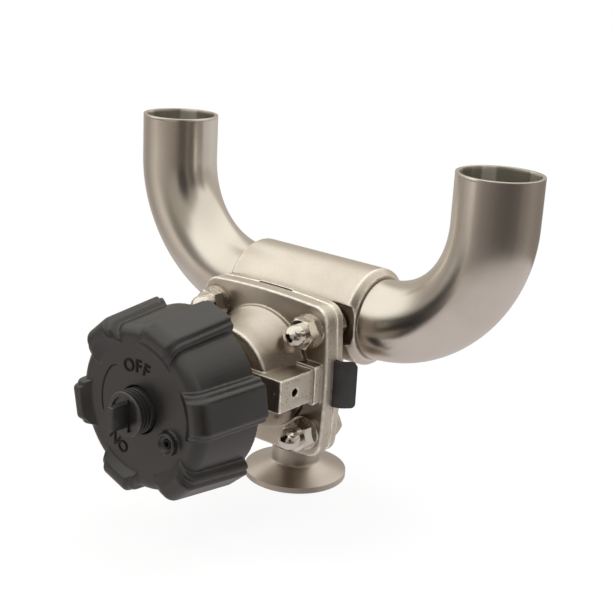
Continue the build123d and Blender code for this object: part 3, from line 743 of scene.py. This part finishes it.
# marks on the wheel's face, in mm and degrees
markSettings = {
    # text, angle from the right, radius and height
    "letters": [
        ("O", 107, 19.0, 5.6), ("F", 90, 19.0, 5.6), ("F", 76, 19.0, 5.6),
        ("O", -115, 21.2, 5.2), ("N", -130, 21.4, 5.2),
    ],
    "capital": 0.7,            # a capital's share of the font size
    "sunk": 0.25,
    "proud": 0.40,
    "stroke": 0.05,            # how much every stroke is thickened
    "arcRadius": 22.3,
    "arcFrom": 197.0,
    "arcTo": 138.0,
    "arcSteps": 60,
    "arcWidth": 0.8,
    "arcProud": 0.1,
    "endShare": 0.35,          # share of the width where the arc begins
    "growSteps": 6,            # steps in which it grows to its full width
    "hookSteps": 3,            # the same at the hook, which keeps a little more of it
    "hookShare": 0.2,
    "hookTo": 129.0,
    "hookDrop": 1.1,           # how far the arc's end turns in
}


def wheelPoint(radius, angle, proud):
    a = math.radians(angle)
    x = axisX + radius * math.cos(a) * mm
    z = axisZ + radius * math.sin(a) * mm
    return Vector((x, wheelFace - proud * mm, z))


def markLetter(text, angle, radius, height):
    s = markSettings
    curve = bpy.data.curves.new("mark", "FONT")
    curve.body = text
    curve.align_x, curve.align_y = "CENTER", "CENTER"
    curve.size = height / s["capital"] * mm
    curve.extrude = (s["proud"] + s["sunk"]) / 2 * mm
    curve.offset = s["stroke"] * mm
    curve.resolution_u = 6
    holder = linked("mark", curve)
    bpy.context.view_layer.update()
    mesh = evaluatedMesh(holder)
    bpy.data.objects.remove(holder)
    a = math.radians(angle)
    turn = Matrix(((math.sin(a), math.cos(a), 0), (0, 0, -1), (-math.cos(a), math.sin(a), 0)))
    middle = wheelPoint(radius, angle, (s["proud"] - s["sunk"]) / 2)
    points = [turn @ v.co + middle for v in mesh.vertices]
    faces = [tuple(f.vertices) for f in mesh.polygons]
    bpy.data.meshes.remove(mesh)
    return points, faces


# a thin raised arc with a hooked end, narrower towards both ends
def markArc():
    s = markSettings
    path = [(s["arcRadius"], a) for a in np.linspace(s["arcFrom"], s["arcTo"], s["arcSteps"])]
    hook = s["arcTo"] - s["hookTo"]
    path += [(s["arcRadius"] - s["hookDrop"] * t, s["arcTo"] - hook * t) for t in (0.35, 0.7, 1.0)]
    last = len(path) - 1
    low, high = -s["sunk"], s["arcProud"]
    points, faces = [], []
    for i, (radius, angle) in enumerate(path):
        growth = min(1, i / s["growSteps"], (last - i) / s["hookSteps"] + s["hookShare"])
        half = s["arcWidth"] / 2 * (s["endShare"] + (1 - s["endShare"]) * growth)
        inner, outer = radius - half, radius + half
        for r, proud in ((inner, low), (inner, high), (outer, high), (outer, low)):
            points.append(wheelPoint(r, angle, proud))
    for i in range(last):
        for j in range(4):
            a, b = i * 4 + j, i * 4 + (j + 1) % 4
            faces.append((a, b, b + 4, a + 4))
    end = last * 4
    faces += [(3, 2, 1, 0), (end, end + 1, end + 2, end + 3)]
    return points, faces


def makeMarks():
    points, faces = [], []
    for markPoints, markFaces in [markLetter(*letter) for letter in markSettings["letters"]] + [markArc()]:
        start = len(points)
        points += markPoints
        faces += [tuple(start + i for i in face) for face in markFaces]
    piece = linked("faceMarks", newMesh("faceMarks", points, faces))
    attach(piece, "wheel")
    setMaterial(piece, markPlastic)


makeMarks()
print("wheel made")

tubeShape = {
    "outer": 19.05,            # all in mm
    "bore": 17.4,
    "bend": 55.5,
    "rise": 22.0,
    "around": 96,
    "bendRows": 60,
    "riseRows": 14,
    "edge": 0.10,              # rounding of the cut end
    "innerEdge": 0.06,
    "thinning": 0.45,          # how much the bend draws the outside in
}


def tubeBend(side, node, name):
    s = tubeShape
    low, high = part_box(node)
    startX = (low.x if side > 0 else high.x) / mm
    lineY = (low.y + high.y) / 2 / mm
    lineZ = low.z / mm + s["outer"]
    count = s["around"]

    # a ring of points, a round the bend and then h up the straight end
    def ring(a, h, radius):
        points = []
        for j in range(count):
            phi = 2 * math.pi * j / count
            reach = s["bend"] + radius * math.cos(phi)
            x = startX + side * (reach * math.sin(a))
            z = lineZ + s["bend"] - reach * math.cos(a) + h
            points.append((x * mm, (lineY + radius * math.sin(phi)) * mm, z * mm))
        return points

    stations = [(a, 0.0) for a in np.linspace(0, math.pi / 2, s["bendRows"])]
    stations += [(math.pi / 2, h) for h in np.linspace(0, s["rise"], s["riseRows"] + 1)[1:]]
    a, h = stations.pop()
    rows = [ring(b, g, s["outer"] - s["thinning"] * math.sin(2 * b) ** 2) for b, g in stations]
    rows += [ring(a, h - s["edge"], s["outer"]), ring(a, h, s["outer"] - s["edge"])]
    outerCount = len(rows)
    rows += [ring(a, h, s["bore"] + s["innerEdge"]), ring(a, h - s["innerEdge"], s["bore"])]
    rows += [ring(b, g, s["bore"]) for b, g in reversed(stations)]
    faces = []
    for i in range(len(rows)):
        for j in range(count):
            here, there = i * count, (i + 1) % len(rows) * count
            turned = (j + 1) % count
            faces.append((here + j, here + turned, there + turned, there + j))
    piece = linked(name, newMesh(name, [point for row in rows for point in row], faces))
    piece.data.shade_smooth()
    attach(piece, "valve")
    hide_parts(node)
    setMaterial(piece, finishes["tube_steel"])
    piece.data.materials.append(tubeInside)
    # one UV map in metres, round the tube and along it, and the bore's own material
    runs = [0.0]
    for first, second in zip(rows, rows[1:]):
        runs.append(runs[-1] + float(np.linalg.norm(np.array(first[0]) - np.array(second[0]))))
    layer = piece.data.uv_layers.new(name="along")
    girth = 2 * math.pi * s["outer"] * mm
    for face in piece.data.polygons:
        places = [divmod(piece.data.loops[corner].vertex_index, count) for corner in face.loop_indices]
        seam = any(column == count - 1 for row, column in places)
        for corner, (row, column) in zip(face.loop_indices, places):
            turns = (column + (count if seam and column == 0 else 0)) / count
            layer.data[corner].uv = (turns * girth, runs[row])
        if min(row for row, column in places) > outerCount:
            face.material_index = 1


tubeBend(1, "right_elbow", "rightBend")
tubeBend(-1, "left_elbow", "leftBend")
print("tube bends made")

# camera at the photograph's viewing angle, angles in degrees, lens and sensor in mm
cameraSettings = {
    "azimuth": 38.379,
    "elevation": 17.535,
    "roll": 3.201,
    "lens": 68.986,
    "sensor": 36.0,
    "place": (0.335405, -0.42097, 0.256572),
}


def makeCamera():
    s = cameraSettings
    azimuth, elevation, roll = (math.radians(s[key]) for key in ("azimuth", "elevation", "roll"))
    level = Vector((math.sin(azimuth), -math.cos(azimuth), 0))
    back = level * math.cos(elevation) + Vector((0, 0, math.sin(elevation)))
    right = Vector((math.cos(azimuth), math.sin(azimuth), 0))
    up = back.cross(right)
    rightRolled = right * math.cos(roll) + up * math.sin(roll)
    upRolled = up * math.cos(roll) - right * math.sin(roll)
    data = bpy.data.cameras.new("camera")
    data.lens = s["lens"]
    data.sensor_width = s["sensor"]
    data.clip_start, data.clip_end = 0.01, 20
    camera = linked("camera", data)
    turn = Matrix((rightRolled, upRolled, back)).transposed()
    camera.matrix_world = Matrix.Translation(Vector(s["place"])) @ turn.to_4x4()
    bpy.context.scene.camera = camera
    return level, right


# level directions from the object: ahead to the camera, aside to the camera's right
ahead, aside = makeCamera()
print("camera placed")

studioSettings = {
    "ambient": 0.50,
    "seen": (1.0, 1.0, 1.0),
    "overhead": (1.15, 1.12, 1.04),
    "overheadRight": (0.90, 0.87, 0.80),   # the soft box fades towards the right
    "fadeFrom": -0.2,
    "fadeTo": 0.65,
    # where the wall gives way to the soft box: degrees to the right of the camera, height
    "skyFrom": [
        (-180, 0.48), (-120, 0.20), (-84, 0.05), (-56, 0.24), (-20, 0.46), (15, 0.50), (40, 0.44),
        (58, 0.20), (90, 0.13), (130, 0.26), (180, 0.48),
    ],
    "skyDepth": 0.22,
    "table": (0.60, 0.555, 0.545),
    "tableFrom": -0.35,
    "tableTo": -0.58,
    # the room's wall below eye level: degrees to the right of the camera, brightness, warmth
    "wall": [
        (-180, 0.52, 0.3), (-150, 0.54, 0.4), (-128, 0.40, 0.6), (-112, 0.36, 0.6), (-96, 0.50, 0.5),
        (-77, 0.73, 0.6), (-54, 0.50, 0.6), (-34, 0.33, 0.9), (-14, 0.22, 1.0), (5, 0.155, 1.0),
        (24, 0.12, 1.0), (46, 0.13, 0.9), (56, 0.38, 0.7), (68, 0.47, 0.4), (90, 0.58, 0.3),
        (122, 0.66, 0.2), (150, 0.60, 0.3), (180, 0.52, 0.3),
    ],
    "cool": (1.0, 0.975, 0.955),
    "warm": (1.0, 0.87, 0.73),
    # the wall above eye level: degrees to the right of the camera, brightness
    "horizon": [
        (-180, 0.50), (-130, 0.46), (-96, 0.30), (-77, 0.22), (-54, 0.22), (-34, 0.38), (-10, 0.42),
        (20, 0.38), (50, 0.42), (90, 0.46), (130, 0.54), (180, 0.50),
    ],
    "horizonTone": (1.0, 0.915, 0.80),
    "horizonFrom": -0.16,
    "horizonTo": 0.0,
    "crew": (0.055, 0.047, 0.042),         # camera and stand, dark, in front of the object
    "crewHeight": 6.0,         # degrees above level
    "crewAside": 11.0,         # degrees to the right of the camera
    "crewFrom": 0.93,
    "crewTo": 0.985,
}


def shaded(tone, level):
    return [level * part for part in tone]


# colours at degrees round the room, from -180 to 180
def roundRamp(tree, around, colours):
    ramp = addNode(tree, "ShaderNodeValToRGB")
    ramp.color_ramp.interpolation = "EASE"
    stops = ramp.color_ramp.elements
    stops.remove(stops[-1])
    for i, (angle, colour) in enumerate(colours):
        place = (angle + 180) / 360
        stop = stops[0] if i == 0 else stops.new(place)
        stop.position = place
        stop.color = (*colour, 1.0)
    tree.links.new(around, ramp.inputs["Fac"])
    return ramp.outputs["Color"]


# the room as reflections see it; direction is the way a reflection looks
def roomColour(tree, direction):
    s = studioSettings
    x, y, z = splitVector(tree, direction)
    # round the room, from 0 behind the object to 1, with 0.5 towards the camera
    forward = plus(tree, times(tree, x, ahead.x), times(tree, y, ahead.y))
    sideways = plus(tree, times(tree, x, aside.x), times(tree, y, aside.y))
    around = plus(tree, times(tree, mathNode(tree, "ARCTAN2", sideways, forward), 0.5 / math.pi), 0.5)
    wallColours = []
    for angle, level, warmth in s["wall"]:
        tone = [(1 - warmth) * a + warmth * b for a, b in zip(s["cool"], s["warm"])]
        wallColours.append((angle, shaded(tone, level)))
    lowWall = roundRamp(tree, around, wallColours)
    highColours = [(angle, shaded(s["horizonTone"], level)) for angle, level in s["horizon"]]
    highWall = roundRamp(tree, around, highColours)
    wall = mixColour(tree, mapRange(tree, z, s["horizonFrom"], s["horizonTo"]), lowWall, highWall)
    fade = mapRange(tree, x, s["fadeFrom"], s["fadeTo"])
    overhead = mixColour(tree, fade, s["overhead"], s["overheadRight"])
    skyFrom = roundRamp(tree, around, [(angle, (height, height, height)) for angle, height in s["skyFrom"]])
    above = mapRange(tree, z, skyFrom, plus(tree, skyFrom, s["skyDepth"]))
    room = mixColour(tree, above, wall, overhead)
    room = mixColour(tree, mapRange(tree, z, s["tableFrom"], s["tableTo"]), room, s["table"])
    rise, turn = math.radians(s["crewHeight"]), math.radians(s["crewAside"])
    crewLevel = ahead * math.cos(turn) + aside * math.sin(turn)
    towards = addNode(tree, "ShaderNodeVectorMath", operation="DOT_PRODUCT")
    tree.links.new(direction, towards.inputs[0])
    towards.inputs[1].default_value = crewLevel * math.cos(rise) + Vector((0, 0, math.sin(rise)))
    crew = mapRange(tree, towards.outputs["Value"], s["crewFrom"], s["crewTo"])
    return mixColour(tree, crew, room, s["crew"])


def makeWorld():
    s = studioSettings
    world = bpy.data.worlds.new("studio")
    bpy.context.scene.world = world
    world.use_nodes = True
    tree = world.node_tree
    tree.nodes.clear()
    room = roomColour(tree, addNode(tree, "ShaderNodeTexCoord").outputs["Generated"])
    backgrounds = []
    for colour in (tuple(shaded(s["cool"], s["ambient"])), room, s["seen"]):
        background = addNode(tree, "ShaderNodeBackground")
        feed(tree, colour, background.inputs["Color"])
        backgrounds.append(background.outputs[0])
    plain, shiny, seen = backgrounds
    path = addNode(tree, "ShaderNodeLightPath").outputs
    unseen = mixShaders(tree, path["Is Glossy Ray"], plain, shiny)
    direct = mathNode(tree, "MAXIMUM", path["Is Camera Ray"], path["Is Transmission Ray"])
    output = addNode(tree, "ShaderNodeOutputWorld")
    tree.links.new(mixShaders(tree, direct, unseen, seen), output.inputs["Surface"])


lamps = [
    {
        "name": "keyLamp", "place": (-0.55, -0.75, 0.95),
        "size": 0.7, "power": 9.0, "colour": (1.0, 0.97, 0.92),
    },
    {
        "name": "fillLamp", "place": (0.9, -0.35, 0.55),
        "size": 0.8, "power": 4.0, "colour": (1.0, 0.98, 0.96),
    },
    {
        "name": "topLamp", "place": (0.0, 0.3, 1.1),
        "size": 0.9, "power": 9.0, "colour": (1.0, 1.0, 1.0),
    },
]


# a soft round lamp that looks at the object's middle; only the dull surfaces see it
def makeLamp(s):
    data = bpy.data.lights.new(s["name"], "AREA")
    data.shape = "DISK"
    data.size = s["size"]
    data.energy = s["power"]
    data.color = s["colour"]
    lamp = linked(s["name"], data)
    lamp.location = s["place"]
    lamp.rotation_mode = "QUATERNION"
    middle = (cadBox[0] + cadBox[1]) / 2
    lamp.rotation_quaternion = (middle - Vector(s["place"])).to_track_quat("-Z", "Y")
    lamp.visible_glossy = False


floorSettings = {
    "half": 3.0,               # half its width, in metres
    "paper": (0.92, 0.92, 0.92),
    "nearGlow": 0.90,          # share of plain white that the camera sees near the object
    "nearEdge": 0.06,
    "farEdge": 0.30,           # beyond this the floor is plain white
}


def makeFloor():
    s = floorSettings
    half = s["half"]
    corners = [(-half, -half, 0), (half, -half, 0), (half, half, 0), (-half, half, 0)]
    floor = linked("floor", newMesh("floor", corners, [(0, 1, 2, 3)]))
    floor.visible_glossy = False
    material, tree = bareMaterial("floorPaper")
    length = addNode(tree, "ShaderNodeVectorMath", operation="LENGTH")
    tree.links.new(addNode(tree, "ShaderNodeTexCoord").outputs["Object"], length.inputs[0])
    paper = addNode(tree, "ShaderNodeBsdfDiffuse")
    feed(tree, s["paper"], paper.inputs["Color"])
    glow = addNode(tree, "ShaderNodeEmission")
    far = mapRange(tree, length.outputs["Value"], s["nearEdge"], s["farEdge"], s["nearGlow"], 1.0)
    toCamera = addNode(tree, "ShaderNodeLightPath").outputs["Is Camera Ray"]
    endMaterial(tree, mixShaders(tree, times(tree, far, toCamera), paper.outputs[0], glow.outputs[0]))
    setMaterial(floor, material)


cardSettings = {
    "radius": 0.085,           # round the right tube's middle, in metres
    "low": 0.100,
    "high": 0.205,
    "step": 5,                 # degrees
    "tone": (1.0, 0.88, 0.79),
    # degrees to the right of the camera and brightness
    "levels": [
        (-65, 0.44), (-54, 0.30), (-42, 0.22), (-23, 0.165), (-4, 0.115), (15, 0.098), (34, 0.115),
        (54, 0.22), (76, 0.31), (102, 0.26), (140, 0.27),
    ],
}


# a curved brown card round the right tube that only reflections see
def makeCard():
    s = cardSettings
    low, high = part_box("right_elbow")
    tubeLine = Vector((high.x - tubeShape["outer"] * mm, (low.y + high.y) / 2, 0))
    headings = list(range(s["levels"][0][0], s["levels"][-1][0] + 1, s["step"]))
    points = []
    for z in (s["low"], s["high"]):
        for heading in headings:
            turn = math.radians(heading)
            spot = tubeLine + (ahead * math.cos(turn) + aside * math.sin(turn)) * s["radius"]
            points.append((spot.x, spot.y, z))
    count = len(headings)
    mesh = newMesh("card", points, [(i, i + 1, count + i + 1, count + i) for i in range(count - 1)])
    layer = mesh.uv_layers.new(name="round")
    for loop in mesh.loops:
        layer.data[loop.index].uv = ((headings[loop.vertex_index % count] + 180) / 360, 0.5)
    card = linked("card", mesh)
    for ray in ("camera", "diffuse", "shadow", "transmission", "volume_scatter"):
        setattr(card, "visible_" + ray, False)
    material, tree = bareMaterial("cardPaper")
    around = splitVector(tree, addNode(tree, "ShaderNodeUVMap", uv_map="round").outputs[0])[0]
    glow = addNode(tree, "ShaderNodeEmission")
    colours = [(angle, shaded(s["tone"], level)) for angle, level in s["levels"]]
    tree.links.new(roundRamp(tree, around, colours), glow.inputs["Color"])
    # only the side towards the tube glows
    clear = addNode(tree, "ShaderNodeBsdfTransparent")
    inner = addNode(tree, "ShaderNodeNewGeometry").outputs["Backfacing"]
    endMaterial(tree, mixShaders(tree, inner, clear.outputs[0], glow.outputs[0]))
    setMaterial(card, material)


makeWorld()
makeFloor()
makeCard()
for lampSettings in lamps:
    makeLamp(lampSettings)
print("studio made")

bpy.context.scene.view_settings.view_transform = "Standard"
